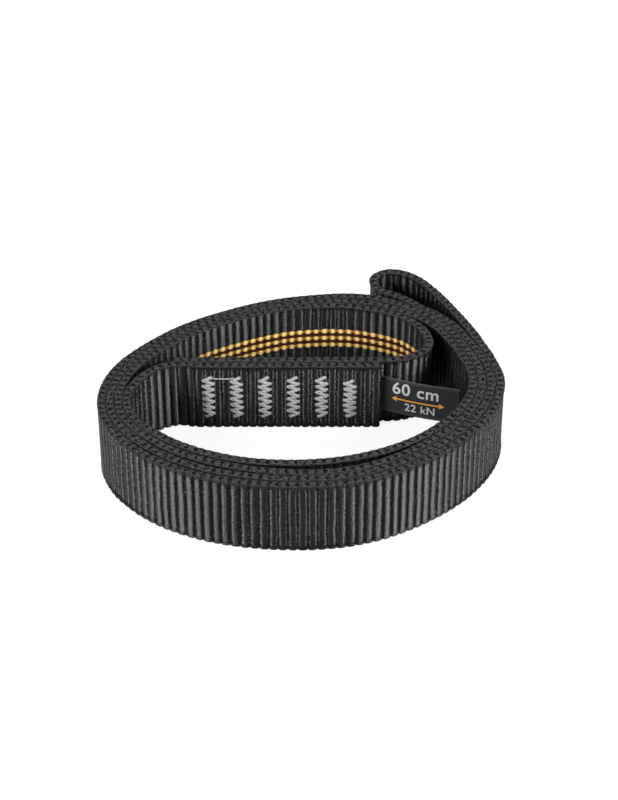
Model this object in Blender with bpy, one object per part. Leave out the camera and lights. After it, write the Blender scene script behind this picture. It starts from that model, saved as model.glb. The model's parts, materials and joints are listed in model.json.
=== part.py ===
"""A sewn climbing sling: one closed loop of flat tape, rolled up into a loose coil that stands on its edge.

The tape is one unbroken band. Its two cut ends lie face to face in the straight lap across the coil, where
six bar tacks sew them together, with a folded label caught between them. From the lap the two strands of the
loop run round the coil side by side, and each end of the pair is a bight, where one strand turns into the other.

Metres, +Z up, +X to the right and +Y away from the front. The tape stands on its lower edge at Z = 0.
"""

import bisect
import math

import bmesh
import bpy
from mathutils import Vector

MM = 0.001

# Tape
TAPE_WIDTH = 19.5 * MM
TAPE_THICKNESS = 1.7 * MM
EDGE_CHAMFER = 0.35 * MM

# Coil: radii are those of the innermost layer's inner face, as shares of the radius at the right side.
COIL_RADIUS = 44.55 * MM
LAYER_GAP = 0.52 * MM  # the least gap between two layers
FRONT_GAP = 2.0 * MM  # how far the innermost layer stands clear of the next one at the front

# Each row: compass angle from +X, share of COIL_RADIUS, share of LAYER_GAP between layers.
COIL_SHARES = (
    (0, 1.000, 1.42),
    (28, 1.004, 1.42),
    (48, 0.992, 1.50),
    (66, 0.960, 2.80),
    (90, 0.893, 1.32),
    (120, 0.847, 1.06),
    (150, 0.908, 1.16),
    (175, 0.992, 1.10),
    (195, 1.040, 1.08),
    (215, 0.963, 2.36),
    (240, 0.869, 2.92),
    (270, 0.807, 1.98),
    (300, 0.821, 1.70),
    (330, 0.897, 1.89),
)
FRONT_GAP_ANGLE = 285
FRONT_GAP_SPAN = 45
FULL_TURN = 360

# A layer climbs over the inner bight at the back right, and over the end of the lap at the left.
BIGHT_CLIMB = (20, 45)
LAP_CLIMB = (146, 184)

# The angles where each strand of the coil begins and ends, counted on from the first turn.
STRAND_1_ANGLES = (192, 765)
STRAND_2_ANGLES = (52, 724)
COIL_STEP_ANGLE = 9

# Lap: the straight stretch where the two ends of the tape overlap, across the coil.
LAP_OFFSET = 9.35 * MM  # from the coil's centre to the middle of the front layer
LAP_RIGHT = 21.1 * MM  # from the coil's centre to the cut end of the front layer
LAP_LENGTH = 56.5 * MM
LAP_BEND = 7.3 * MM  # what the front layer runs short of the hidden cut end before it bends

# Bar tacks
TACK_COUNT = 6
TACK_SPACING = 7.7 * MM
TACK_INSET = 8.3 * MM  # from the cut end of the front layer to the middle of the nearest tack
TACK_WIDTH = 3.2 * MM
TACK_HEIGHT = 13.4 * MM
TACK_THICKNESS = 0.5 * MM
TACK_STITCHES = 7
TACK_TOOTH_SHARE = 0.24  # of the width: how deep the zigzag cuts into each side
SHANK_RADIUS = 0.5 * MM
SHANK_UP_SHARE = 0.66
SHANK_SIDES = 12

# Label
LABEL_HEIGHT = 10.9 * MM
LABEL_THICKNESS = 0.5 * MM
LABEL_TAIL = 12.0 * MM
LABEL_FLAP = 21.6 * MM
LABEL_ANGLE = 18.6
LABEL_BOW = 0.7 * MM
LABEL_CHAMFER = 0.12 * MM
HINGE_GAP = 0.5 * MM
TAIL_REACH = 0.2 * MM  # how far the tail stands out past the cut end

CLEARANCE = 0.3 * MM
CUT_OVERRUN = 1.0 * MM

# How closely the band follows its route
ROUTE_STEP = 0.3 * MM
STATION_STEP = 3.6 * MM
STATION_TURN = 8.0

LAP_GAP = LABEL_THICKNESS + 2 * CLEARANCE
LAP_BACK_OFFSET = LAP_OFFSET + TAPE_THICKNESS + LAP_GAP
LAP_LEFT = LAP_RIGHT - LAP_LENGTH

# Places chosen by hand along the stretches that aren't coiled, as shares of COIL_RADIUS from the coil's centre.
LEFT_BEND_SHARES = (
    (-0.776, 0.222),
    (-0.858, 0.194),
    (-0.922, 0.140),
    (-0.974, 0.068),
    (-1.008, -0.010),
    (-1.036, -0.096),
)
OUTER_BIGHT_SHARES = (
    (0.756, 0.900),
    (0.685, 0.976),
    (0.608, 1.051),
    (0.532, 1.100),
    (0.480, 1.142),
    (0.459, 1.206),
    (0.470, 1.296),
    (0.548, 1.364),
    (0.640, 1.354),
    (0.734, 1.282),
    (0.796, 1.192),
    (0.872, 1.050),
    (0.936, 0.902),
    (0.998, 0.752),
    (1.052, 0.606),
    (1.098, 0.464),
    (1.142, 0.322),
)
INNER_BIGHT_SHARES = (
    (0.690, 0.720),
    (0.746, 0.636),
    (0.774, 0.536),
    (0.774, 0.440),
    (0.728, 0.356),
    (0.652, 0.304),
    (0.566, 0.278),
)

# Colours, roughness
TAPE_COLOUR = (0.016, 0.016, 0.018)
THREAD_COLOUR = (0.62, 0.63, 0.64)
LABEL_COLOUR = (0.02, 0.02, 0.022)
TAPE_ROUGHNESS = 0.62
THREAD_ROUGHNESS = 0.55
LABEL_ROUGHNESS = 0.38


def clear_scene():
    for old in list(bpy.data.objects):
        bpy.data.objects.remove(old, do_unlink=True)


def new_collection(name):
    collection = bpy.data.collections.new(name)
    bpy.context.scene.collection.children.link(collection)
    return collection


def material(name, colour, roughness):
    made = bpy.data.materials.new(name)
    made.use_nodes = True
    shader = made.node_tree.nodes["Principled BSDF"]
    shader.inputs["Base Color"].default_value = (*colour, 1.0)
    shader.inputs["Roughness"].default_value = roughness
    made.diffuse_color = (*colour, 1.0)
    return made


def ease(value, low, high):
    """0 up to low, 1 from high on, and a smooth step between."""
    share = min(max((value - low) / (high - low), 0.0), 1.0)
    return share * share * (3 - 2 * share)


def around(angle, column):
    """The table's value at any compass angle, on a smooth closed curve through its rows."""
    angle %= FULL_TURN
    angles = [row[0] for row in COIL_SHARES]
    here = bisect.bisect_right(angles, angle) - 1
    count = len(COIL_SHARES)
    places = []
    values = []
    for step in (-1, 0, 1, 2):
        turn, row = divmod(here + step, count)
        places.append(angles[row] + turn * FULL_TURN)
        values.append(COIL_SHARES[row][column])
    share = (angle - places[1]) / (places[2] - places[1])
    run = places[2] - places[1]
    leave = run * (values[2] - values[0]) / (places[2] - places[0])
    arrive = run * (values[3] - values[1]) / (places[3] - places[1])
    square = share * share
    cube = square * share
    return (
        (2 * cube - 3 * square + 1) * values[1]
        + (cube - 2 * square + share) * leave
        + (3 * square - 2 * cube) * values[2]
        + (cube - square) * arrive
    )


def layers_beneath(angle, strand):
    """How many layers lie inside this one, where angle counts on from turn to turn."""
    beneath = 0.0 if strand == 1 else ease(angle, *LAP_CLIMB)
    for turn in range(1, 3):
        start = turn * FULL_TURN
        beneath += ease(angle, start + BIGHT_CLIMB[0], start + BIGHT_CLIMB[1])
        beneath += ease(angle, start + LAP_CLIMB[0], start + LAP_CLIMB[1])
    return beneath


def coil_point(angle, strand):
    """The middle of the tape at this angle of the coil, in plan."""
    beneath = layers_beneath(angle, strand)
    pitch = TAPE_THICKNESS + LAYER_GAP * around(angle, 2)
    off = abs(angle % FULL_TURN - FRONT_GAP_ANGLE) / FRONT_GAP_SPAN
    front = FRONT_GAP * math.cos(min(off, 1.0) * math.pi / 2) ** 2
    radius = COIL_RADIUS * around(angle, 1) + TAPE_THICKNESS / 2
    radius += beneath * pitch + min(beneath, 1.0) * front
    return Vector((radius * math.cos(math.radians(angle)), radius * math.sin(math.radians(angle))))


def coil_points(strand, first, last):
    """Places along one strand from one angle to another, either way round."""
    count = round(abs(last - first) / COIL_STEP_ANGLE)
    return [coil_point(first + (last - first) * i / count, strand) for i in range(count + 1)]


def lap_points(start, end, offset):
    count = 6
    return [Vector((start + (end - start) * i / count, offset)) for i in range(count + 1)]


def placed(shares):
    return [Vector((across * COIL_RADIUS, away * COIL_RADIUS)) for across, away in shares]


def route_points():
    """The hand-chosen and the computed places of the tape, from one cut end to the other."""
    points = lap_points(LAP_RIGHT, LAP_LEFT + LAP_BEND, LAP_OFFSET)
    points += placed(LEFT_BEND_SHARES)
    points += coil_points(1, *STRAND_1_ANGLES)
    points += placed(OUTER_BIGHT_SHARES)
    points += coil_points(2, STRAND_2_ANGLES[1], STRAND_2_ANGLES[0])
    points += placed(INNER_BIGHT_SHARES)
    points += lap_points(LAP_RIGHT, LAP_LEFT, LAP_BACK_OFFSET)
    return points


def smooth(points):
    """A centripetal Catmull-Rom curve through the points, as close small steps."""
    first = 2 * points[0] - points[1]
    last = 2 * points[-1] - points[-2]
    points = [first, *points, last]
    knots = [0.0]
    for a, b in zip(points, points[1:]):
        knots.append(knots[-1] + math.sqrt((b - a).length))
    fine = []
    for i in range(1, len(points) - 2):
        t0, t1, t2, t3 = knots[i - 1 : i + 3]
        p0, p1, p2, p3 = points[i - 1 : i + 3]
        count = max(2, math.ceil((p2 - p1).length / ROUTE_STEP))
        for k in range(count):
            t = t1 + (t2 - t1) * k / count
            a1 = p0.lerp(p1, (t - t0) / (t1 - t0))
            a2 = p1.lerp(p2, (t - t1) / (t2 - t1))
            a3 = p2.lerp(p3, (t - t2) / (t3 - t2))
            b1 = a1.lerp(a2, (t - t0) / (t2 - t0))
            b2 = a2.lerp(a3, (t - t1) / (t3 - t1))
            fine.append(b1.lerp(b2, (t - t1) / (t2 - t1)))
    fine.append(points[-2])
    return fine


def stations(fine):
    """The places that the band is built on: close together in a bight, further apart elsewhere."""
    kept = [fine[0]]
    run = 0.0
    turned = 0.0
    for before, here, after in zip(fine, fine[1:], fine[2:]):
        run += (here - before).length
        turned += math.degrees((here - before).angle(after - here, 0.0))
        if run >= STATION_STEP or turned >= STATION_TURN:
            kept.append(here)
            run = 0.0
            turned = 0.0
    kept.append(fine[-1])
    return kept


def offset_line(points, distance):
    """The line at this distance to the left of the points."""
    line = []
    for i, here in enumerate(points):
        along = (points[min(i + 1, len(points) - 1)] - points[max(i - 1, 0)]).normalized()
        line.append(here + Vector((-along.y, along.x)) * distance)
    return line


def least_gap(points, thickness):
    """The least distance between two stretches of the band that aren't neighbours along it."""
    distances = [0.0]
    for a, b in zip(points, points[1:]):
        distances.append(distances[-1] + (b - a).length)
    near = 4 * thickness
    sides = [offset_line(points, thickness / 2), offset_line(points, -thickness / 2)]
    least = math.inf
    for side in sides:
        for other in sides:
            for i, here in enumerate(side):
                for k in range(len(other) - 1):
                    if abs(distances[k] - distances[i]) < near:
                        continue
                    start = other[k]
                    edge = other[k + 1] - start
                    share = (here - start).dot(edge) / edge.length_squared
                    foot = start + edge * min(max(share, 0.0), 1.0)
                    least = min(least, (here - foot).length)
    return least


def plan_centre(points):
    """The middle of the box round the points, which becomes the origin."""
    across = [p.x for p in points]
    away = [p.y for p in points]
    return Vector(((min(across) + max(across)) / 2, (min(away) + max(away)) / 2))


def to_mesh_object(curve_object, name, collection):
    """The same shape as a mesh, with its caps welded on. The curve is removed."""
    bpy.context.view_layer.update()
    graph = bpy.context.evaluated_depsgraph_get()
    mesh = bpy.data.meshes.new_from_object(curve_object.evaluated_get(graph))
    mesh.name = name
    shape = bmesh.new()
    shape.from_mesh(mesh)
    bmesh.ops.remove_doubles(shape, verts=shape.verts, dist=0.01 * CLEARANCE)
    bmesh.ops.recalc_face_normals(shape, faces=shape.faces)
    shape.to_mesh(mesh)
    shape.free()
    made = bpy.data.objects.new(name, mesh)
    made.matrix_world = curve_object.matrix_world
    collection.objects.link(made)
    bpy.data.objects.remove(curve_object, do_unlink=True)
    return made


def poly_curve(name, points, closed, collection, dimensions="3D"):
    data = bpy.data.curves.new(name, "CURVE")
    data.dimensions = dimensions
    spline = data.splines.new("POLY")
    spline.points.add(len(points) - 1)
    for target, point in zip(spline.points, points):
        target.co = (*point, 0.0, 1.0) if len(point) == 2 else (*point, 1.0)
    spline.use_cyclic_u = closed
    made = bpy.data.objects.new(name, data)
    collection.objects.link(made)
    return made


def band(name, points, width, thickness, chamfer, collection):
    """A flat band on edge along the points, with its four long edges chamfered."""
    half_width = width / 2
    half_thickness = thickness / 2
    corners = (
        (half_thickness - chamfer, half_width),
        (half_thickness, half_width - chamfer),
        (half_thickness, chamfer - half_width),
        (half_thickness - chamfer, -half_width),
        (chamfer - half_thickness, -half_width),
        (-half_thickness, chamfer - half_width),
        (-half_thickness, half_width - chamfer),
        (chamfer - half_thickness, half_width),
    )
    section = poly_curve(name + "_section", corners, True, collection, "2D")
    section.data.fill_mode = "NONE"
    line = poly_curve(name + "_route", [(p.x, p.y, 0.0) for p in points], False, collection)
    line.data.twist_mode = "Z_UP"
    line.data.bevel_mode = "OBJECT"
    line.data.bevel_object = section
    line.data.use_fill_caps = True
    made = to_mesh_object(line, name, collection)
    bpy.data.objects.remove(section, do_unlink=True)
    return made


def shade(thing, surface):
    thing.data.materials.clear()
    thing.data.materials.append(surface)
    thing.data.shade_smooth()
    thing.data.set_sharp_from_angle(angle=math.radians(30))


def tack_places():
    """How far right of the coil's centre each tack lies, from left to right."""
    last = LAP_RIGHT - TACK_INSET
    return [last - (TACK_COUNT - 1 - i) * TACK_SPACING for i in range(TACK_COUNT)]


def shank_places():
    """How far up from the tack's middle each of its two shanks stands."""
    up = TACK_HEIGHT / 2 * SHANK_UP_SHARE
    return [-up, up]


def cylinder_along_y(shape, radius, start, end, across, up):
    """Adds a round bar from start to end along Y to the mesh being built."""
    made = bmesh.ops.create_cone(
        shape,
        cap_ends=True,
        segments=SHANK_SIDES,
        radius1=radius,
        radius2=radius,
        depth=end - start,
    )
    for vert in made["verts"]:
        x, y, z = vert.co
        vert.co = (x + across, z + (start + end) / 2, up - y)
    return made


def object_from(shape, name, collection):
    mesh = bpy.data.meshes.new(name)
    bmesh.ops.recalc_face_normals(shape, faces=shape.faces)
    shape.to_mesh(mesh)
    shape.free()
    made = bpy.data.objects.new(name, mesh)
    collection.objects.link(made)
    return made


def needle_cutter(places, start, end, centre, collection):
    """All the round holes that the tacks' shanks need, as one cutter."""
    shape = bmesh.new()
    for place in places:
        for up in shank_places():
            cylinder_along_y(
                shape,
                SHANK_RADIUS + CLEARANCE,
                start - centre.y,
                end - centre.y,
                place - centre.x,
                TAPE_WIDTH / 2 + up,
            )
    cutter = object_from(shape, "needle_holes", collection)
    cutter.hide_render = True
    cutter.display_type = "WIRE"
    return cutter


def cut(thing, cutter):
    modifier = thing.modifiers.new("needle_holes", "BOOLEAN")
    modifier.operation = "DIFFERENCE"
    modifier.solver = "EXACT"
    modifier.object = cutter


def zigzag_outline():
    """One pad of a tack seen from the front: a zigzag line whose teeth on the left lie between those on the right."""
    half = TACK_WIDTH / 2
    root = half - TACK_WIDTH * TACK_TOOTH_SHARE
    rise = TACK_HEIGHT / (TACK_STITCHES + 0.5)
    right = [(root, -TACK_HEIGHT / 2)]
    for i in range(TACK_STITCHES):
        low = i * rise - TACK_HEIGHT / 2
        right.append((half, low + rise / 2))
        right.append((root, low + rise))
    left = [(-x, -y) for x, y in right]
    return right + left


def tack_mesh(collection):
    """Both pads of one tack and the two shanks that join them through the tape, as one body."""
    front = -TAPE_THICKNESS / 2 - CLEARANCE - TACK_THICKNESS / 2
    back = LAP_BACK_OFFSET - LAP_OFFSET - front
    pads = []
    for name, place in (("tack_front", front), ("tack_back", back)):
        outline = poly_curve(name, zigzag_outline(), True, collection, "2D")
        outline.data.fill_mode = "BOTH"
        outline.data.extrude = TACK_THICKNESS / 2
        outline.rotation_euler = (math.radians(90), 0.0, 0.0)
        outline.location = (0.0, place, 0.0)
        pads.append(to_mesh_object(outline, name, collection))
    shape = bmesh.new()
    for up in shank_places():
        cylinder_along_y(shape, SHANK_RADIUS, front, back, 0.0, up)
    shanks = object_from(shape, "tack_shanks", collection)
    whole = pads[0]
    for other in (shanks, pads[1]):
        modifier = whole.modifiers.new("join_" + other.name, "BOOLEAN")
        modifier.operation = "UNION"
        modifier.solver = "EXACT"
        modifier.object = other
    bpy.context.view_layer.update()
    graph = bpy.context.evaluated_depsgraph_get()
    mesh = bpy.data.meshes.new_from_object(whole.evaluated_get(graph))
    mesh.transform(whole.matrix_world)
    for used in (*pads, shanks):
        bpy.data.objects.remove(used, do_unlink=True)
    return mesh


def label_hinge():
    """Where the label leaves the lap: the line that its free part swings on, in plan."""
    away = LAP_OFFSET + (TAPE_THICKNESS + LAP_GAP) / 2
    return Vector((LAP_RIGHT + TAIL_REACH + HINGE_GAP / 2, away))


def label_tail_points():
    hinge = label_hinge()
    end = hinge.x - HINGE_GAP / 2
    return [Vector((end - LABEL_TAIL, hinge.y)), Vector((end, hinge.y))]


def label_flap_points():
    """The free part of the label runs out at an angle, a little bowed."""
    count = 8
    aim = Vector((math.cos(math.radians(LABEL_ANGLE)), -math.sin(math.radians(LABEL_ANGLE))))
    side = Vector((aim.y, -aim.x))
    points = []
    for i in range(count + 1):
        share = i / count
        along = HINGE_GAP / 2 + share * LABEL_FLAP
        points.append(label_hinge() + aim * along + side * LABEL_BOW * math.sin(math.pi * share))
    return points


def build_tape(points, centre, cutter, collection):
    moved = [p - centre for p in points]
    tape = band("webbing_tape", moved, TAPE_WIDTH, TAPE_THICKNESS, EDGE_CHAMFER, collection)
    tape.location = (0.0, 0.0, TAPE_WIDTH / 2)
    cut(tape, cutter)
    shade(tape, material("polyamide_tape", TAPE_COLOUR, TAPE_ROUGHNESS))


def build_tacks(places, centre, collection, cutters):
    mesh = tack_mesh(cutters)
    surface = material("tack_thread", THREAD_COLOUR, THREAD_ROUGHNESS)
    for number, place in enumerate(places, 1):
        tack = bpy.data.objects.new(f"bar_tack_{number}", mesh)
        tack.location = (place - centre.x, LAP_OFFSET - centre.y, TAPE_WIDTH / 2)
        collection.objects.link(tack)
        shade(tack, surface)


def build_label(centre, cutter, collection):
    surface = material("label_satin", LABEL_COLOUR, LABEL_ROUGHNESS)
    hinge = label_hinge()
    tail_points = [p - centre for p in label_tail_points()]
    tail = band("label_tail", tail_points, LABEL_HEIGHT, LABEL_THICKNESS, LABEL_CHAMFER, collection)
    tail.location = (0.0, 0.0, TAPE_WIDTH / 2)
    cut(tail, cutter)
    shade(tail, surface)
    flap_points = [p - hinge for p in label_flap_points()]
    flap = band("label_flap", flap_points, LABEL_HEIGHT, LABEL_THICKNESS, LABEL_CHAMFER, collection)
    flap.location = (hinge.x - centre.x, hinge.y - centre.y, TAPE_WIDTH / 2)
    shade(flap, surface)


def main():
    clear_scene()
    parts = new_collection("climbing_loop_sling")
    cutters = new_collection("cutters")
    points = stations(smooth(route_points()))
    length = sum((b - a).length for a, b in zip(points, points[1:]))
    gap = least_gap(points, TAPE_THICKNESS)
    centre = plan_centre(offset_line(points, TAPE_THICKNESS / 2) + offset_line(points, -TAPE_THICKNESS / 2))
    print(f"tape {length / MM:.1f} mm long, round the loop {(length - LAP_LENGTH) / MM:.1f} mm")
    print(f"{len(points)} stations, least gap of the band to itself {gap / MM:.3f} mm")
    print(f"coil's centre at {-centre.x / MM:.3f}, {-centre.y / MM:.3f} mm")
    places = tack_places()
    start = LAP_OFFSET - TAPE_THICKNESS / 2 - CUT_OVERRUN
    end = LAP_BACK_OFFSET + TAPE_THICKNESS / 2 + CUT_OVERRUN
    cutter = needle_cutter(places, start, end, centre, cutters)
    build_tape(points, centre, cutter, parts)
    build_tacks(places, centre, parts, cutters)
    build_label(centre, cutter, parts)


main()
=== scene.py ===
"""The looks of a sewn climbing sling: ribbed tape in a loose coil, its stitches, tracer threads and label.

Metres, in the frame of the solids: +Z up, +X to the right, +Y away from the front. The tape stands on Z = 0.
"""

import bisect
import json
import math
import random

import bmesh
import bpy
import numpy as np
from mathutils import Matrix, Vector


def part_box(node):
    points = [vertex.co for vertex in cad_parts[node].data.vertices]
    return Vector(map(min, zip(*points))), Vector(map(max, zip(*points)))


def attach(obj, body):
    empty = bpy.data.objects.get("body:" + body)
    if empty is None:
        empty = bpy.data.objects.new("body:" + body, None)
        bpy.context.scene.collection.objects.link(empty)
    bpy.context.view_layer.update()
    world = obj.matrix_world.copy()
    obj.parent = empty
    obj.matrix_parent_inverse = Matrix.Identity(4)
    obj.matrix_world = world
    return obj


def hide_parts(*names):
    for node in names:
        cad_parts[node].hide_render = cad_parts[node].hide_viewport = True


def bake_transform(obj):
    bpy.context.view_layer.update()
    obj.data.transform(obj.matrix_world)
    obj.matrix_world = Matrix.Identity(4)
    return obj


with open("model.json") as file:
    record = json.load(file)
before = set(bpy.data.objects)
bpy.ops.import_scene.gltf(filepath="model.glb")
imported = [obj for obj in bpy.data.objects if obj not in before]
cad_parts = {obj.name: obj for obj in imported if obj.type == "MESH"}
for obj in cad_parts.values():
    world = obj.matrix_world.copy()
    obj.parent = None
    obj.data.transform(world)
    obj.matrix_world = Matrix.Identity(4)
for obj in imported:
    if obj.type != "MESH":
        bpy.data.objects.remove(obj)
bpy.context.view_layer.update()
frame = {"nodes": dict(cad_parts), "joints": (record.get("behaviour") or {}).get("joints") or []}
HINGE = frame["joints"][0]["pos_m"]

bl_info = {
    "name": "Climbing sling",
    "version": (1, 0, 0),
    "blender": (4, 5, 0),
    "location": "View3D > Sidebar > Sling",
    "description": "Dresses a coiled climbing sling: ribbed tape, tracer threads, bar tacks and label",
    "category": "Object",
}

MM = 0.001
FULL_TURN = 360

# The tape's solid and the route that it follows, measured from the coil's centre
TAPE_WIDTH = 19.5 * MM
TAPE_THICKNESS = 1.7 * MM
COIL_RADIUS = 44.55 * MM
LAYER_GAP = 0.52 * MM
FRONT_GAP = 2.0 * MM

# Each row: compass angle from +X, share of COIL_RADIUS, share of LAYER_GAP between layers
COIL_SHARES = (
    (0, 1.000, 1.42),
    (28, 1.004, 1.42),
    (48, 0.992, 1.50),
    (66, 0.960, 2.80),
    (90, 0.893, 1.32),
    (120, 0.847, 1.06),
    (150, 0.908, 1.16),
    (175, 0.992, 1.10),
    (195, 1.040, 1.08),
    (215, 0.963, 2.36),
    (240, 0.869, 2.92),
    (270, 0.807, 1.98),
    (300, 0.821, 1.70),
    (330, 0.897, 1.89),
)
FRONT_GAP_ANGLE = 285
FRONT_GAP_SPAN = 45
BIGHT_CLIMB = (20, 45)
LAP_CLIMB = (146, 184)
STRAND_1_ANGLES = (192, 765)
STRAND_2_ANGLES = (52, 724)
COIL_STEP_ANGLE = 9
LAP_OFFSET = 9.35 * MM
LAP_RIGHT = 21.1 * MM
LAP_LENGTH = 56.5 * MM
LAP_BEND = 7.3 * MM
LAP_GAP = 1.1 * MM
LAP_BACK_OFFSET = LAP_OFFSET + TAPE_THICKNESS + LAP_GAP
LAP_LEFT = LAP_RIGHT - LAP_LENGTH
LAP_STEPS = 6
ROUTE_STEP = 0.3 * MM

# Places along the stretches that aren't coiled, as shares of COIL_RADIUS from the coil's centre
LEFT_BEND_SHARES = (
    (-0.776, 0.222),
    (-0.858, 0.194),
    (-0.922, 0.140),
    (-0.974, 0.068),
    (-1.008, -0.010),
    (-1.036, -0.096),
)
OUTER_BIGHT_SHARES = (
    (0.756, 0.900),
    (0.685, 0.976),
    (0.608, 1.051),
    (0.532, 1.100),
    (0.480, 1.142),
    (0.459, 1.206),
    (0.470, 1.296),
    (0.548, 1.364),
    (0.640, 1.354),
    (0.734, 1.282),
    (0.796, 1.192),
    (0.872, 1.050),
    (0.936, 0.902),
    (0.998, 0.752),
    (1.052, 0.606),
    (1.098, 0.464),
    (1.142, 0.322),
)
INNER_BIGHT_SHARES = (
    (0.690, 0.720),
    (0.746, 0.636),
    (0.774, 0.536),
    (0.774, 0.440),
    (0.728, 0.356),
    (0.652, 0.304),
    (0.566, 0.278),
)

# The label's hinge stands this far right of the front layer's cut end
TAIL_REACH = 0.2 * MM
HINGE_GAP = 0.5 * MM

# How a rib rises along the tape: distance from its crest as a share of the pitch, share of its height
RIB_PROFILE_SHARES = (
    (-0.50, 0.00),
    (-0.41, 0.26),
    (-0.30, 0.80),
    (-0.12, 0.98),
    (0.14, 1.00),
    (0.32, 0.86),
    (0.42, 0.32),
)
# How far a tracer thread has come up out of the tape, and how wide it is there, along one rib
BEAD_PROFILE_SHARES = (
    (-0.50, 0.26, 0.36),
    (-0.41, 0.44, 0.45),
    (-0.29, 0.84, 0.74),
    (-0.16, 0.98, 0.94),
    (0.00, 1.00, 1.00),
    (0.16, 0.98, 0.94),
    (0.29, 0.84, 0.74),
    (0.41, 0.44, 0.45),
)
# Heights of the rows of points on the tape's faces, as shares of its half width
FACE_ROW_SHARES = (-0.84, -0.44, -0.02, 0.42, 0.84)
# What each point round the tape is: 0 on a face, 1 on a rim, 2 in the pits along the middle of an edge
EDGE_MARKS = np.array((*(0 for _ in FACE_ROW_SHARES), 0, 1, 1, 2, 1, 1, 0) * 2 + (0,))
# A rim sets in this far from an edge, as a share of the rim's height: between two ribs and on a crest
SHOULDER_SHARES = (0.36, 0.08)
# A rim's thickness where it turns over the edge, as a share of the rim's own
TURNED_RIM_SHARE = 0.84
# How much shallower an edge's pits are on a crest, and how far the upper edge draws in for the lower's 1
CREST_PIT_LOSS = 0.85
UPPER_SCALLOP_SHARE = 0.2
RIB_SEED = 7
# Shares of the pitch by which a whole rib, and single yarns of one, stray along the tape
RIB_STRAY_SHARE = 0.05
YARN_STRAY_SHARE = 0.045
# The least rise of a rib as a share of the most, and how much thinner single yarns of it can be
LEAST_RISE_SHARE = 0.84
YARN_THINNING = 0.035
# The yarns are counted round this ring of the first rib, near its crest
COUNTED_RING = 3
# How much lower than its solid the stitches of a tack end
TACK_DROPS = {"bar_tack_2": 0.2 * MM, "bar_tack_6": 1.1 * MM}
# Two stretches of tape are neighbours where they lie side by side but are this far apart along it
NEIGHBOUR_REACH = 12.0 * MM
LAYER_CLEARANCE = 0.015 * MM
# The tape's upper half strays in two slow waves: the length of a radian of each, and where it starts
STRAY_WAVES = ((23.0 * MM, 0.0), (9.7 * MM, 1.3))
# Heights over which the brown ground by the tracer threads and the painted shade of the inner face fade out
BAND_FADE = 0.3 * MM
SHADED_FACE_FADE = 0.6 * MM
# How far the painted shade of the inner face reaches from its middle
SHADED_FACE_REACH = 0.48 * TAPE_WIDTH
# How deep the bumps of the threads, the satin and the print are
TRACER_BUMP = 0.06 * MM
STITCH_BUMP = 0.07 * MM
SATIN_BUMP = 0.03 * MM
PRINT_BUMP = 0.02 * MM
# How far the label bows towards the front, and the steps of its line inside the lap and outside
LABEL_BOW = 0.7 * MM
TAIL_STEPS = 6
FLAP_STEPS = 14
TRACER_PLIES = 4.0
# The power that makes a tracer thread's section squarer
TRACER_SQUARENESS = 0.75
# How far its middle sinks in between two ribs, as a share of half its thickness
TRACER_SINK = 0.3
# The pattern of each tracer thread starts this many ribs after the one before
TRACER_SHIFT = 100.0

# Each row: name, place, size and power of a lamp
LAMPS = (
    ("left_lamp", (-0.70, -0.47, 0.30), (0.58, 0.5), 9.9),
    ("right_lamp", (0.73, -0.44, 0.30), (0.58, 0.5), 11.3),
    ("top_lamp", (0.0, 0.62, 0.85), (1.0, 0.6), 4.8),
)
LAMP_AIM = (0.0, 0.0, 0.01)
# The camera sees nothing nearer than this
NEAR_CLIP = 10 * MM
FLOOR_RADIUS = 3.0
FLOOR_CORNERS = 96
FLOOR_DROP = 0.05 * MM


def ease(value, low, high):
    """0 up to low, 1 from high on, and a smooth step between."""
    share = min(max((value - low) / (high - low), 0.0), 1.0)
    return share * share * (3 - 2 * share)


def around(angle, column):
    """The table's value at any compass angle, on a smooth closed curve through its rows."""
    angle %= FULL_TURN
    angles = [row[0] for row in COIL_SHARES]
    here = bisect.bisect_right(angles, angle) - 1
    rows = [divmod(here + step, len(COIL_SHARES)) for step in (-1, 0, 1, 2)]
    places = [angles[row] + turn * FULL_TURN for turn, row in rows]
    values = [COIL_SHARES[row][column] for _, row in rows]
    run = places[2] - places[1]
    share = (angle - places[1]) / run
    leave = run * (values[2] - values[0]) / (places[2] - places[0])
    arrive = run * (values[3] - values[1]) / (places[3] - places[1])
    square = share * share
    cube = square * share
    return (
        (2 * cube - 3 * square + 1) * values[1]
        + (cube - 2 * square + share) * leave
        + (3 * square - 2 * cube) * values[2]
        + (cube - square) * arrive
    )


def layers_beneath(angle, strand):
    """How many layers lie inside this one, where angle counts on from turn to turn."""
    beneath = 0.0 if strand == 1 else ease(angle, *LAP_CLIMB)
    for turn in (1, 2):
        start = turn * FULL_TURN
        beneath += ease(angle, start + BIGHT_CLIMB[0], start + BIGHT_CLIMB[1])
        beneath += ease(angle, start + LAP_CLIMB[0], start + LAP_CLIMB[1])
    return beneath


def coil_point(angle, strand):
    """The middle of the tape at this angle of the coil, in plan."""
    beneath = layers_beneath(angle, strand)
    pitch = TAPE_THICKNESS + LAYER_GAP * around(angle, 2)
    off = abs(angle % FULL_TURN - FRONT_GAP_ANGLE) / FRONT_GAP_SPAN
    front = FRONT_GAP * math.cos(min(off, 1.0) * math.pi / 2) ** 2
    radius = COIL_RADIUS * around(angle, 1) + TAPE_THICKNESS / 2
    radius += beneath * pitch + min(beneath, 1.0) * front
    return Vector((radius * math.cos(math.radians(angle)), radius * math.sin(math.radians(angle))))


def coil_points(strand, first, last):
    """Places along one strand from one angle to another, either way round."""
    count = round(abs(last - first) / COIL_STEP_ANGLE)
    return [coil_point(first + (last - first) * i / count, strand) for i in range(count + 1)]


def lap_points(start, end, offset):
    return [Vector((start + (end - start) * i / LAP_STEPS, offset)) for i in range(LAP_STEPS + 1)]


def placed(shares):
    return [Vector((across * COIL_RADIUS, away * COIL_RADIUS)) for across, away in shares]


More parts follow.
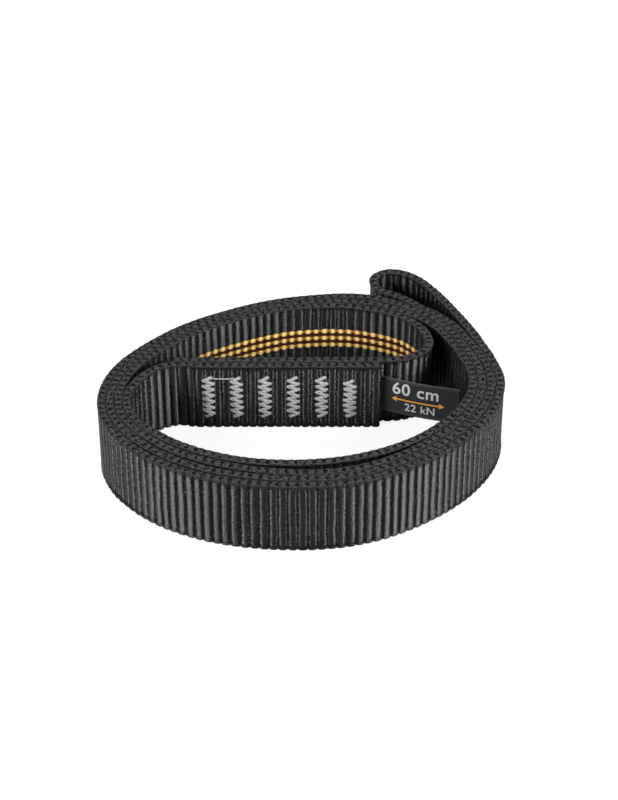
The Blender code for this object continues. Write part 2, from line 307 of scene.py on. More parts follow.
def route_points():
    """The places of the tape from one cut end to the other, from the coil's centre."""
    points = lap_points(LAP_RIGHT, LAP_LEFT + LAP_BEND, LAP_OFFSET)
    points += placed(LEFT_BEND_SHARES)
    points += coil_points(1, *STRAND_1_ANGLES)
    points += placed(OUTER_BIGHT_SHARES)
    points += coil_points(2, STRAND_2_ANGLES[1], STRAND_2_ANGLES[0])
    points += placed(INNER_BIGHT_SHARES)
    points += lap_points(LAP_RIGHT, LAP_LEFT, LAP_BACK_OFFSET)
    return points


def smooth(points):
    """A centripetal Catmull-Rom curve through the points, as close small steps."""
    points = [2 * points[0] - points[1], *points, 2 * points[-1] - points[-2]]
    knots = [0.0]
    for a, b in zip(points, points[1:]):
        knots.append(knots[-1] + math.sqrt((b - a).length))
    fine = []
    for i in range(1, len(points) - 2):
        t0, t1, t2, t3 = knots[i - 1 : i + 3]
        p0, p1, p2, p3 = points[i - 1 : i + 3]
        count = max(2, math.ceil((p2 - p1).length / ROUTE_STEP))
        for k in range(count):
            t = t1 + (t2 - t1) * k / count
            a1 = p0.lerp(p1, (t - t0) / (t1 - t0))
            a2 = p1.lerp(p2, (t - t1) / (t2 - t1))
            a3 = p2.lerp(p3, (t - t2) / (t3 - t2))
            b1 = a1.lerp(a2, (t - t0) / (t2 - t0))
            b2 = a2.lerp(a3, (t - t1) / (t3 - t1))
            fine.append(b1.lerp(b2, (t - t1) / (t2 - t1)))
    fine.append(points[-2])
    return fine


def coil_centre():
    """The coil's centre in the frame, from the hinge, which stands where the label leaves the lap."""
    across = LAP_RIGHT + TAIL_REACH + HINGE_GAP / 2
    away = LAP_OFFSET + (TAPE_THICKNESS + LAP_GAP) / 2
    return Vector(HINGE[:2]) - Vector((across, away))


class Course:
    """A line in plan that gives its place and its left side at any distance along it."""

    REACH = 0.5 * MM

    def __init__(self, points):
        self.places = np.array([tuple(p) for p in points])
        steps = np.linalg.norm(np.diff(self.places, axis=0), axis=1)
        self.distances = np.concatenate(([0.0], np.cumsum(steps)))
        self.length = float(self.distances[-1])

    def at(self, distance):
        """Places at these distances. Past an end the line runs straight on."""
        distance = np.asarray(distance, float)
        inside = np.clip(distance, 0.0, self.length)
        columns = [np.interp(inside, self.distances, self.places[:, k]) for k in (0, 1)]
        found = np.stack(columns, axis=-1)
        past = (distance - inside)[..., None]
        start = self.places[1] - self.places[0]
        end = self.places[-1] - self.places[-2]
        found += np.where(past < 0, past * start / np.linalg.norm(start), 0.0)
        found += np.where(past > 0, past * end / np.linalg.norm(end), 0.0)
        return found

    def left(self, distance):
        """Unit vectors to the left of the line at these distances."""
        along = self.at(np.asarray(distance) + self.REACH) - self.at(np.asarray(distance) - self.REACH)
        along /= np.linalg.norm(along, axis=-1, keepdims=True)
        return np.stack((-along[..., 1], along[..., 0]), axis=-1)

    def place(self, distance, aside, height):
        """Points in space at these distances, this far to the left of the line and this high."""
        distance, aside, height = np.broadcast_arrays(distance, aside, height)
        flat = self.at(distance) + self.left(distance) * aside[..., None]
        return np.concatenate((flat, height[..., None]), axis=-1)


def tape_course():
    centre = coil_centre()
    return Course([p + centre for p in smooth(route_points())])


def linked(name, data):
    """A new object in the scene."""
    made = bpy.data.objects.new(name, data)
    bpy.context.scene.collection.objects.link(made)
    return made


def tube_object(name, points, material):
    """A closed tube through rings of points that go round clockwise, seen along the way they run."""
    rings, corners = points.shape[:2]
    ring = np.arange(rings - 1)[:, None] * corners
    beyond = ring + corners
    here = np.arange(corners)[None, :]
    after = (here + 1) % corners
    quads = np.stack((ring + here, ring + after, beyond + after, beyond + here), axis=-1)
    start = list(range(corners))[::-1]
    end = [(rings - 1) * corners + k for k in range(corners)]
    mesh = bpy.data.meshes.new(name)
    mesh.from_pydata(points.reshape(-1, 3).tolist(), [], [*quads.reshape(-1, 4).tolist(), start, end])
    mesh.update()
    mesh.shade_smooth()
    mesh.materials.append(material)
    return linked(name, mesh)


def shape_object(name, shape, material):
    """An object made of a bmesh, which is freed."""
    mesh = bpy.data.meshes.new(name)
    shape.to_mesh(mesh)
    shape.free()
    mesh.materials.append(material)
    return linked(name, mesh)


def tube_map(thing, name, along, across):
    """A UV map on a tube: U is one value for each ring, and V one for each corner and the first again."""
    layer = thing.data.uv_layers.new(name=name)
    corners = len(across) - 1
    quads = (len(along) - 1) * corners
    values = np.zeros((len(thing.data.loops), 2), np.float32)
    ring, here = np.divmod(np.arange(quads), corners)
    for corner, (ring_step, round_step) in enumerate(((0, 0), (0, 1), (1, 1), (1, 0))):
        loop = np.arange(quads) * 4 + corner
        values[loop, 0] = along[ring + ring_step]
        values[loop, 1] = across[here + round_step]
    values[quads * 4 : quads * 4 + corners, 0] = along[0]
    values[quads * 4 + corners :, 0] = along[-1]
    layer.data.foreach_set("uv", values.ravel())


def step(operation, turned=False):
    """A method that feeds a wire and any other value to a Math node, in the opposite order if turned."""

    def method(self, *others):
        values = (*others, self) if turned else (self, *others)
        return self.finish.math(operation, *values)

    return method


class Wire:
    """A socket in a material. Arithmetic on it adds Math nodes."""

    __add__ = __radd__ = step("ADD")
    __mul__ = __rmul__ = step("MULTIPLY")
    __sub__ = step("SUBTRACT")
    __rsub__ = step("SUBTRACT", turned=True)
    __truediv__ = step("DIVIDE")
    __pow__ = step("POWER")
    absolute = step("ABSOLUTE")
    fraction = step("FRACT")

    def __init__(self, finish, socket):
        self.finish = finish
        self.socket = socket

    def cosine(self):
        """Goes from 0 to 1 and back once for each unit, and is 1 at whole numbers."""
        return 0.5 + 0.5 * self.finish.math("COSINE", self * math.tau)

    def clipped(self):
        return self.finish.node("ShaderNodeClamp", {}, {0: self})

    def ramp(self, start, end):
        """0 at start, 1 at end, and straight between. The end can lie below the start."""
        return ((self - start) / (end - start)).clipped()


class Finish:
    """A material that is built from Python expressions."""

    def __init__(self, name):
        self.material = bpy.data.materials.new(name)
        self.material.use_nodes = True
        self.tree = self.material.node_tree
        self.shader = self.tree.nodes["Principled BSDF"]

    def feed(self, socket, value):
        """Links a wire to a socket, or sets the socket to a number or a colour."""
        if isinstance(value, Wire):
            self.tree.links.new(value.socket, socket)
        else:
            socket.default_value = (*value, 1.0) if socket.type == "RGBA" else value

    def node(self, kind, settings, inputs, output=0):
        """Adds a node, sets its settings first and then its sockets, and gives one of its outputs."""
        made = self.tree.nodes.new(kind)
        for name, value in settings.items():
            setattr(made, name, value)
        for key, value in inputs.items():
            self.feed(made.inputs[key], value)
        return Wire(self, made.outputs[output])

    def math(self, operation, *values):
        return self.node("ShaderNodeMath", {"operation": operation}, dict(enumerate(values)))

    def mapped(self, name):
        """The two values of a UV map."""
        place = self.node("ShaderNodeUVMap", {"uv_map": name}, {})
        return [self.node("ShaderNodeSeparateXYZ", {}, {0: place}, k) for k in (0, 1)]

    def place(self):
        """The place in object space."""
        return self.node("ShaderNodeTexCoord", {}, {}, 3)

    def noise(self, scale, detail=2.0, roughness=0.5, vector=None):
        """A noise value from 0 to 1, in object space unless a vector is given."""
        inputs = {"Scale": scale, "Detail": detail, "Roughness": roughness}
        inputs["Vector"] = vector or self.place()
        return self.node("ShaderNodeTexNoise", {}, inputs)

    def vector(self, x, y):
        return self.node("ShaderNodeCombineXYZ", {}, {0: x, 1: y})

    def mix(self, share, low, high):
        """A colour between two colours."""
        settings = {"data_type": "RGBA", "clamp_factor": True}
        return self.node("ShaderNodeMix", settings, {0: share, 6: low, 7: high}, 2)

    def bump(self, height, distance, strength=1.0):
        return self.node("ShaderNodeBump", {}, {"Height": height, "Distance": distance, "Strength": strength})

    def set(self, **values):
        """Sets or links the shader's sockets, named with _ for a space."""
        for name, value in values.items():
            self.feed(self.shader.inputs[name.replace("_", " ")], value)

    def beneath(self, share, **values):
        """Lets another finish, with these sockets, show wherever share is below 1."""
        inputs = {name.replace("_", " "): value for name, value in values.items()}
        surface = self.tree.nodes["Material Output"].inputs["Surface"]
        over = Wire(self, surface.links[0].from_socket)
        under = self.node("ShaderNodeBsdfPrincipled", {}, inputs)
        self.feed(surface, self.node("ShaderNodeMixShader", {}, {0: share, 1: under, 2: over}))


def length_setting(name, description, default):
    return bpy.props.FloatProperty(
        name=name, description=description, default=default, min=0.0, unit="LENGTH"
    )


def share_setting(name, description, default):
    return bpy.props.FloatProperty(
        name=name, description=description, default=default, min=0.0, max=1.0, subtype="FACTOR"
    )


def colour_setting(name, description, default):
    return bpy.props.FloatVectorProperty(
        name=name, description=description, default=default, min=0.0, max=1.0, size=3, subtype="COLOR"
    )


class SlingTapeSettings(bpy.types.PropertyGroup):
    """Sizes and colours of the ribbed tape."""

    rib_pitch: length_setting("Rib pitch", "Distance from one rib to the next", 2.395 * MM)
    crest: length_setting("Crest", "Half the tape's thickness at a rib's crest", 1.04 * MM)
    valley: length_setting("Valley", "Half the tape's thickness between two ribs", 0.66 * MM)
    yarn_pitch: length_setting("Yarn pitch", "Distance from one lengthwise yarn to the next", 0.6 * MM)
    rim: length_setting("Rim", "How far in from an edge its smooth rim reaches", 0.6 * MM)
    scallop: length_setting("Scallop", "How far the lower edge draws in between two ribs", 0.34 * MM)
    rim_least: length_setting("Least rim", "Half the tape's thickness at a rim that is squeezed", 1.0 * MM)
    rim_most: length_setting("Full rim", "Half the tape's thickness at a rim with room beside it", 1.32 * MM)
    pit: length_setting("Pit", "Depth of an edge's middle line between two ribs", 0.12 * MM)
    wobble: length_setting("Wobble", "How far the upper half strays up along the tape", 0.14 * MM)
    # The crest colour is a painted highlight, shown on the ribs' tops and the rims
    crest_highlight_colour: colour_setting("Crest colour", "Colour of the yarns on a rib", (0.012, 0.0118, 0.0124))
    valley_colour: colour_setting("Valley colour", "Colour between two ribs", (0.0045, 0.0044, 0.0048))
    band_colour: colour_setting("Band colour", "Colour between the tracer threads", (0.048, 0.013, 0.005))
    # The edge colour is partly the braid's own grey and partly painted reflection, as the edges have no gloss
    edge_colour_and_reflection: colour_setting("Edge colour", "Colour of the yarns round an edge", (0.0855, 0.082, 0.0855))
    edge_shade: share_setting("Edge shade", "Brightness of an edge's pits, for its yarns' 1", 0.09)
    # Painted shade: the inner face, with the tracer threads, has fewer glossy yarns
    inner_face_shade: share_setting("Worn face", "How much duller the face with the tracer threads is", 0.3)
    tracer_band: length_setting("Tracer band", "Height of the ground by the tracer threads", 5.6 * MM)
    crest_roughness: share_setting("Crest roughness", "Roughness of the yarns on a rib", 0.25)
    valley_roughness: share_setting("Valley roughness", "Roughness between two ribs", 0.55)
    edge_roughness: share_setting("Edge roughness", "Roughness of the yarns round an edge", 0.9)
    float_start: share_setting("Float start", "How far up a rib its glossy yarns start", 0.1)
    float_full: share_setting("Float full", "How far up a rib its glossy yarns are full", 0.34)
    yarn_lap: length_setting("Yarn lap", "Height from one yarn to the next, like shingles", 0.3 * MM)
    yarn_height: length_setting("Yarn height", "How far a yarn stands out over the one above it", 0.16 * MM)


class SlingTracerSettings(bpy.types.PropertyGroup):
    """Sizes and colours of the tracer threads that are woven into one face."""

    count: bpy.props.IntProperty(name="Threads", description="Threads side by side", default=3, min=1, max=5)
    spacing: length_setting("Spacing", "Distance from one thread to the next", 2.22 * MM)
    drop: length_setting("Drop", "How far the threads run below the tape's middle", 0.55 * MM)
    height: length_setting("Height", "Height of a thread on a rib's crest", 1.74 * MM)
    thickness: length_setting("Thickness", "Thickness of a thread", 0.44 * MM)
    proud: length_setting("Proud", "How far a thread stands out on a rib's crest", 0.04 * MM)
    bead_colour: colour_setting("Bead colour", "Colour on a rib's crest", (0.82, 0.51, 0.045))
    # Painted highlight in the middle of a bead
    core_highlight_colour: colour_setting("Core colour", "Colour in the middle of a bead", (0.98, 0.84, 0.31))
    rust_colour: colour_setting("Rust colour", "Colour of the redder beads", (0.88, 0.42, 0.12))
    # Painted shade where a thread dips into the tape
    dip_shade_colour: colour_setting("Dip colour", "Colour where a thread dips", (0.34, 0.12, 0.008))


class SlingTackSettings(bpy.types.PropertyGroup):
    """Sizes and colour of the bar tacks."""

    thread: length_setting("Thread", "Thickness of the sewing thread", 0.98 * MM)
    colour: colour_setting("Colour", "Colour of the sewing thread", (0.44, 0.435, 0.445))
    # Painted shade in the grooves between the thread's plies
    shade: colour_setting("Shade", "Colour between the thread's plies", (0.17, 0.17, 0.172))
    stitches: bpy.props.IntProperty(name="Stitches", description="Teeth on each side", default=6, min=3)
    carried: share_setting("Carried", "Thickness of the thread between tacks, for the others' 1", 0.36)


class SlingLabelSettings(bpy.types.PropertyGroup):
    """Sizes and colours of the folded label."""

    layer: length_setting("Layer", "Thickness of the ribbon", 0.15 * MM)
    satin: colour_setting("Satin", "Colour of the ribbon", (0.012, 0.012, 0.013))
    # The edge colour is partly the woven edges' own grey and partly a painted highlight
    edge: colour_setting("Edge", "Colour of the ribbon's woven edges", (0.06, 0.06, 0.062))
    white: colour_setting("White print", "Colour of the white print", (0.58, 0.59, 0.61))
    orange: colour_setting("Orange print", "Colour of the orange print", (0.80, 0.36, 0.045))


class SlingStageSettings(bpy.types.PropertyGroup):
    """Camera, floor and light."""

    lens: bpy.props.FloatProperty(
        name="Lens", description="Focal length", default=90.0, min=1.0, unit="CAMERA"
    )
    camera_place: bpy.props.FloatVectorProperty(
        name="Camera",
        description="Where the camera stands",
        default=(1.776 * MM, -456.37 * MM, 305.9 * MM),
        subtype="XYZ",
        unit="LENGTH",
    )
    camera_tilt: bpy.props.FloatProperty(
        name="Tilt",
        description="How far the camera looks up from straight down",
        default=math.radians(57),
        subtype="ANGLE",
    )
    floor_colour: colour_setting("Floor", "Colour of the floor", (0.24, 0.24, 0.24))
    floor_glow: share_setting("Floor glow", "Light added to the floor where it is seen", 0.86)
    ambient: share_setting("Ambient", "Strength of the world", 0.16)


def tape_material(settings, face_middle, tracer_row):
    """Glossy ragged yarns on the ribs, with painted highlights on their tops and the rims, a dull black
    ground between them that is painted into the edges' pits as shade, and a matte braid round the edges whose
    paler colour is partly painted reflection.

    face_middle and tracer_row are the places of the middle of the inner face, where shade is painted, and of
    the middle tracer thread, in yarns round the tape.
    """
    finish = Finish("ribbed_polyamide_tape")
    along, across = finish.mapped("weave")
    mark = finish.mapped("edge")[1]
    up = finish.node("ShaderNodeSeparateXYZ", {}, {0: finish.place()}, 2)
    grain = finish.noise(1.0, 2.0, 0.7, finish.vector(along * 5.0, across * 1.1))
    tuft = finish.noise(1.0, 1.0, 0.5, finish.vector(along * 0.8, across * 0.45))
    braid = finish.noise(1.0, 1.0, 0.6, finish.vector(along * 2.6, across * 0.8))
    worn = finish.noise(60.0, 2.0, 0.5)
    speck = ((grain - 0.5) * 3.2 + 0.5).clipped()

    # The glossy yarns lie on the ribs, ragged towards the valleys, and over the edges but for their pits,
    # where the dull dark ground is painted in as shade
    rib = along.cosine() + 1.5 * (grain - 0.5) + 0.3 * (tuft - 0.5)
    crest = rib.ramp(settings.float_start, settings.float_full)
    edge = mark.ramp(0.4, 0.65)
    pit = edge * (7.0 * (braid - 0.5) - 0.4 * along.cosine()).ramp(0.25, 0.5833)
    ragged = 0.3 + 0.9 * speck + 0.35 * worn - edge * (0.1 + 3.0 * (braid - 0.5))
    yarns = ((crest + edge) * (1.0 - pit) * ragged).clipped()

    # They thin out on the inner face, as painted shade, and more so by the tracer threads, where the ground
    # is brown
    from_row = (across - tracer_row).absolute() * settings.yarn_pitch
    from_middle = (across - face_middle).absolute() * settings.yarn_pitch
    band = from_row.ramp(settings.tracer_band / 2, settings.tracer_band / 2 - BAND_FADE)
    face = from_middle.ramp(SHADED_FACE_REACH, SHADED_FACE_REACH - SHADED_FACE_FADE)
    yarns = yarns * (1.0 - 0.85 * band) * (1.0 - settings.inner_face_shade * face)
    ground = finish.mix(band, settings.valley_colour, settings.band_colour)

    # Painted highlight: the ribs' tops and the rims are palest, where light catches them
    rim = (mark - 1.0).absolute().ramp(0.7143, 0.0)
    ridge_highlight = rib.ramp(0.74, 0.99) + 0.9 * rim
    highlight_share = (ridge_highlight * speck * (0.5 + 1.1 * worn)).clipped()

    # Painted shade on the braid round an edge: one ragged dark hollow for each rib, and darker towards the
    # rims
    hollow_shade = (6.0 * (braid - 0.5) - 2.0 * along.cosine()).ramp(-1.24, -0.24) * mark.ramp(1.12, 1.37)
    layer = 0.4 + 0.6 * ((mark - 1.0) * 5.0 + 1.6 * (speck - 0.5)).clipped()
    knit_and_shade = ((0.66 + speck - braid) * (1.0 - 0.95 * hollow_shade) * layer).clipped()
    shade = [settings.edge_shade * c for c in settings.edge_colour_and_reflection]

    shingle = up / settings.yarn_lap + 0.3 * grain + 0.4 * along
    bump = finish.bump(1.0 - shingle.fraction() + 1.1 * grain, settings.yarn_height)
    finish.set(
        Base_Color=finish.mix(highlight_share, settings.valley_colour, settings.crest_highlight_colour),
        Roughness=settings.crest_roughness + 0.14 * (tuft - 0.5),
        Normal=bump,
        Specular_IOR_Level=0.36,
    )
    # The dull dark ground between the ribs, which also paints the edges' pits dark as shade
    finish.beneath(yarns, Base_Color=ground, Roughness=settings.valley_roughness, Specular_IOR_Level=0.06)
    # The matte braid round the edges: its paler colour is partly painted reflection
    finish.beneath(
        1.0 - edge,
        Base_Color=finish.mix(knit_and_shade, shade, settings.edge_colour_and_reflection),
        Roughness=settings.edge_roughness,
        Normal=bump,
        Specular_IOR_Level=0.0,
    )
    return finish.material


def rib_rows(length, pitch, profile):
    """Each ring's distance along the tape, count of ribs and rise, and the profile's other columns."""
    chance = random.Random(RIB_SEED)
    count = round(length / pitch)
    starts = np.arange(count + 1) * length / count
    starts[1:-1] += [chance.uniform(-RIB_STRAY_SHARE, RIB_STRAY_SHARE) * pitch for _ in range(count - 1)]
    rises = np.array([chance.uniform(LEAST_RISE_SHARE, 1.0) for _ in range(count)])
    shares = np.array(profile)
    width = np.diff(starts)[:, None]
    middle = (starts[:-1] + starts[1:])[:, None] / 2
    distances = np.append(middle + width * shares[:, 0], length)
    number = np.append(np.arange(count)[:, None] + shares[:, 0], count - 0.5)
    rise = np.append(rises[:, None] * shares[:, 1], shares[0, 1])
    return distances, number, rise, *[np.append(np.tile(column, count), column[0]) for column in shares.T[2:]]


def room_beside(course, distances):
    """How far off the middle of the nearest other layer is at each of these distances."""
    places = course.at(distances)
    room = np.full(len(distances), np.inf)
    batch = 400
    for start in range(0, len(distances), batch):
        part = slice(start, start + batch)
        off = np.linalg.norm(places[part, None] - places[None, :], axis=-1)
        near = np.abs(distances[part, None] - distances[None, :]) < NEIGHBOUR_REACH
        room[part] = np.where(near, np.inf, off).min(axis=1)
    return room


def wander(distances):
    """A slow value from 0 to 1 along the tape."""
    return 0.5 + sum(0.25 * np.sin(distances / length + start) for length, start in STRAY_WAVES)


def edge_points(thick, rise, rim, dip, scallop, settings):
    """Points over one edge, from the left face to the right one."""
    half = TAPE_WIDTH / 2
    low, high = SHOULDER_SHARES
    shoulder = settings.rim * (low + (high - low) * rise)
    points = [
        (thick, half - settings.rim),
        (rim, half - shoulder - scallop),
        (TURNED_RIM_SHARE * rim, half - scallop),
    ]
    return [*points, (0.0, half - dip), *mirrored(points)]


def mirrored(points):
    """The same points on the other side of the tape's middle, in the opposite order."""
    return [(-aside, up) for aside, up in reversed(points)]


def tape_section(rise, room, settings):
    """Points round the tape at rings of this rise: how far left, and how far up from its middle."""
    thick = settings.valley + (settings.crest - settings.valley) * rise
    rim = np.clip(room / 2 - LAYER_CLEARANCE, settings.rim_least, settings.rim_most)
    dip = settings.pit * (1.0 - CREST_PIT_LOSS * rise)
    scallop = settings.scallop * (1.0 - rise)
    left_face = [(thick, share * TAPE_WIDTH / 2) for share in FACE_ROW_SHARES]
    top = edge_points(thick, rise, rim, dip, UPPER_SCALLOP_SHARE * scallop, settings)
    foot = edge_points(thick, rise, rim, dip, scallop, settings)
    under = [(-aside, -up) for aside, up in foot]
    section = [*left_face, *top, *mirrored(left_face), *under]
    return [np.stack(np.broadcast_arrays(*values), axis=-1) for values in zip(*section)]


class SLING_OT_tape(bpy.types.Operator):
    """Weaves the ribbed tape along its route"""

    bl_idname = "sling.tape"
    bl_label = "Tape"

    def execute(self, context):
        settings = context.scene.sling_tape
        course = tape_course()
        distances, number, rise = rib_rows(course.length, settings.rib_pitch, RIB_PROFILE_SHARES)
        points = self.points(course, distances, rise, settings)
        yarns = self.yarns_round(points[COUNTED_RING], settings.yarn_pitch)
        # The right face starts half way round, with its top row
        face_middle = yarns[-1] / 2 + FACE_ROW_SHARES[-1] * TAPE_WIDTH / 2 / settings.yarn_pitch
        tracer_row = face_middle + context.scene.sling_tracers.drop / settings.yarn_pitch
        material = tape_material(settings, face_middle, tracer_row)
        tape = tube_object("woven_tape", points, material)
        tube_map(tape, "weave", number, yarns)
        tube_map(tape, "edge", number, EDGE_MARKS)
        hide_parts("webbing_tape")
        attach(tape, "sling")
        return {"FINISHED"}

    def points(self, course, distances, rise, settings):
        """The tape's rings of points, with single yarns and the upper half astray by a little."""
        aside, up = tape_section(rise, room_beside(course, distances), settings)
        uneven = self.unevenness(*aside.shape) * (rise > 0)[:, None]
        lean = YARN_STRAY_SHARE * settings.rib_pitch * uneven
        aside = aside * (1 - YARN_THINNING * np.abs(uneven))
        stray = settings.wobble * wander(distances)[:, None] * (up > 0)
        points = course.place(distances[:, None] + lean, aside, up + TAPE_WIDTH / 2 + stray)
        points[..., 2] = np.maximum(points[..., 2], 0.0)
        return points

    def unevenness(self, rings, corners):
        """A random value from -1 to 1 for each point, the same on all rings of a rib."""
        chance = random.Random(RIB_SEED + 1)
        rib_rings = len(RIB_PROFILE_SHARES)
        ribs = rings // rib_rings + 1
        values = np.array([[chance.uniform(-1, 1) for _ in range(corners)] for _ in range(ribs)])
        return values[np.arange(rings) // rib_rings]

    def yarns_round(self, ring, pitch):
        """How many lengthwise yarns lie before each point of a ring, and before its first one again."""
        steps = np.linalg.norm(np.roll(ring, -1, axis=0) - ring, axis=1)
        return np.append(0.0, np.cumsum(steps)) / pitch


def tracer_material(settings):
    """Yellow beads with a painted highlight in the middle and painted shade towards their sides and in the
    brown dips between them; some of them are rusty.
    """
    finish = Finish("yellow_tracer_thread")
    along, across = finish.mapped("weave")
    bead = along.cosine()
    outward = (across / TRACER_PLIES).cosine()
    ply = (across + along * 3.0).cosine()
    strand = finish.noise(1.0, 2.0, 0.5, finish.vector(along * 2.0, across * 6.0))
    fade = finish.noise(1.0, 2.0, 0.6, finish.vector(along * 0.45, across * 0.1))
    # Painted light: a highlight where a bead's crest faces out, and painted shade towards its sides and in
    # the dips
    lit = bead * outward**2.5 * (0.8 + 0.4 * strand)
    rust = fade.ramp(0.5, 0.7)
    bead_colour = finish.mix(rust, settings.bead_colour, settings.rust_colour)
    shaded_gold = finish.mix((lit * 1.6 - 0.1).clipped(), settings.dip_shade_colour, bead_colour)
    finish.set(
        Base_Color=finish.mix((lit * 2.4 - 1.1 - 0.3 * rust).clipped(), shaded_gold, settings.core_highlight_colour),
        Roughness=0.62 - 0.15 * bead,
        Normal=finish.bump(ply + 0.4 * strand, TRACER_BUMP, 0.6),
        Sheen_Weight=0.15,
    )
    return finish.material


class SLING_OT_tracers(bpy.types.Operator):
    """Weaves the tracer threads into the tape's inner face"""

    bl_idname = "sling.tracers"
    bl_label = "Tracer threads"
    SIDES = 10

    def execute(self, context):
        tape = context.scene.sling_tape
        settings = context.scene.sling_tracers
        material = tracer_material(settings)
        course = tape_course()
        distances, number, rise, wide = rib_rows(course.length, tape.rib_pitch, BEAD_PROFILE_SHARES)
        turn = -np.arange(self.SIDES) * math.tau / self.SIDES
        half = settings.thickness / 2
        sunk = tape.valley - TRACER_SINK * half
        depth = sunk + (tape.crest + settings.proud - half - sunk) * rise
        aside = -(depth[:, None] + half * self.squared(np.cos(turn)))
        swell = settings.height / 2 * wide[:, None] * self.squared(np.sin(turn))
        middle = TAPE_WIDTH / 2 - settings.drop + tape.wobble * wander(distances)
        across = np.arange(self.SIDES + 1) / self.SIDES * TRACER_PLIES
        for row in range(settings.count):
            up = middle + ((settings.count - 1) / 2 - row) * settings.spacing
            points = course.place(distances[:, None], aside, up[:, None] + swell)
            thread = tube_object(f"tracer_thread_{row + 1}", points, material)
            tube_map(thread, "weave", number + TRACER_SHIFT * row, across)
            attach(thread, "sling")
        return {"FINISHED"}

    def squared(self, value):
        """Makes a round section a little squarer."""
        return np.sign(value) * np.abs(value) ** TRACER_SQUARENESS


def thread_material(settings):
    """Grey thread with painted shade in the grooves between its plies."""
    finish = Finish("grey_sewing_thread")
    bands = {"wave_type": "BANDS", "bands_direction": "DIAGONAL"}
    sizes = {"Vector": finish.place(), "Scale": 420.0, "Distortion": 1.2, "Detail": 1.0}
    ply = finish.node("ShaderNodeTexWave", bands, sizes, 1)
    fleck = finish.noise(1600.0, 2.0, 0.6)
    share = (0.35 + 0.65 * ply) * (0.5 + fleck)
    finish.set(
        Base_Color=finish.mix(share, settings.shade, settings.colour),
        Roughness=0.5 + 0.2 * fleck,
        Normal=finish.bump(ply, STITCH_BUMP, 0.7),
        Sheen_Weight=0.1,
    )
    return finish.material


def thread_curve(name, lines, thickness, material):
    """A thread that follows each of these lines in turn."""
    data = bpy.data.curves.new(name, "CURVE")
    data.dimensions = "3D"
    data.bevel_depth = thickness / 2
    data.bevel_resolution = 2
    data.use_fill_caps = True
    for line in lines:
        spline = data.splines.new("POLY")
        spline.points.add(len(line) - 1)
        for target, point in zip(spline.points, line):
            target.co = (*point, 1.0)
    data.materials.append(material)
    return linked(name, data)


class SLING_OT_tacks(bpy.types.Operator):
    """Sews each bar tack as zigzag stitches on both sides of the lap"""

    bl_idname = "sling.tacks"
    bl_label = "Bar tacks"
    SEED = 19
    # How far a stitch lies in the tape's face, stands out of it halfway, and turns in at its tip
    SUNK = 0.04 * MM
    ARCH = 0.1 * MM
    TURN = 0.18 * MM
    # Shares of a tack's half width that a tooth reaches, and that it bends before its tip
    TEETH = (0.84, 0.98)
    BEND = 0.16
    # How far the first and the last tooth reach, for the others' 1
    END_TOOTH = 0.55
    # A tooth strays up or down by this share of the height from tooth to tooth
    STRAY = 0.06
    # How far off the tape's middle it runs on inside, as a share of a rib's crest
    DEEP_SHARE = 0.3
    # The carried thread starts this far below the first tack's top, and sags this far out and down
    CARRY_DROP = 0.6 * MM
    CARRY_SAG = (0.08 * MM, 0.15 * MM)

    def execute(self, context):
        tape = context.scene.sling_tape
        settings = context.scene.sling_tacks
        material = thread_material(settings)
        chance = random.Random(self.SEED)
        names = sorted(n for n in frame["nodes"] if n.startswith("bar_tack_"))
        for name in names:
            low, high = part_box(name)
            high.z -= TACK_DROPS.get(name, 0.0)
            lines = [self.zigzag(low, high, side, tape.crest, settings, chance) for side in (-1, 1)]
            tack = thread_curve(name + "_stitches", lines, settings.thread, material)
            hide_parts(name)
            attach(tack, "sling")
        self.carry(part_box(names[0]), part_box(names[1]), tape.crest, settings, material)
        return {"FINISHED"}

    def zigzag(self, low, high, side, crest, settings, chance):
        """A tack's thread on the lap's front (-1) or its back (1)."""
        across = (low.x + high.x) / 2
        half = (high.x - low.x) / 2
        layer = coil_centre().y + (LAP_OFFSET if side < 0 else LAP_BACK_OFFSET)
        face = layer + side * (crest - self.SUNK)
        rise = (high.z - low.z - settings.thread) / (settings.stitches + 0.5)
        start = low.z + settings.thread / 2
        last = 2 * settings.stitches + 1
        points = []
        for k in range(last + 1):
            hand = 1 if k % 2 else -1
            reach = half * chance.uniform(*self.TEETH) * (self.END_TOOTH if k in (0, last) else 1.0)
            end = across + hand * reach
            up = start + rise * k / 2 + chance.uniform(-self.STRAY, self.STRAY) * rise
            near = Vector((end - hand * self.BEND * half, face + side * 0.5 * self.SUNK, up))
            tip = Vector((end, face - side * self.TURN, up))
            deep = Vector((end + hand * 0.02 * half, layer + side * self.DEEP_SHARE * crest, up))
            if k:
                middle = (near + points[-1]) / 2
                middle.y = face + side * self.ARCH
                points += [middle, near, tip, deep, tip]
            else:
                points += [deep, tip]
            points.append(near)
        return points

    def carry(self, first, second, crest, settings, material):
        """The thread that runs on from the first tack to the second."""
        left = (first[0].x + first[1].x) / 2
        right = (second[0].x + second[1].x) / 2
        face = coil_centre().y + LAP_OFFSET - crest - self.ARCH
        up = first[1].z - self.CARRY_DROP
        out, down = self.CARRY_SAG
        line = []
        for share in np.linspace(0.0, 1.0, 13).tolist():
            sag = math.sin(math.pi * share)
            line.append(Vector((left + (right - left) * share, face - out * sag, up - down * sag)))
        thread = thread_curve("carried_thread", [line], settings.carried * settings.thread, material)
        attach(thread, "sling")


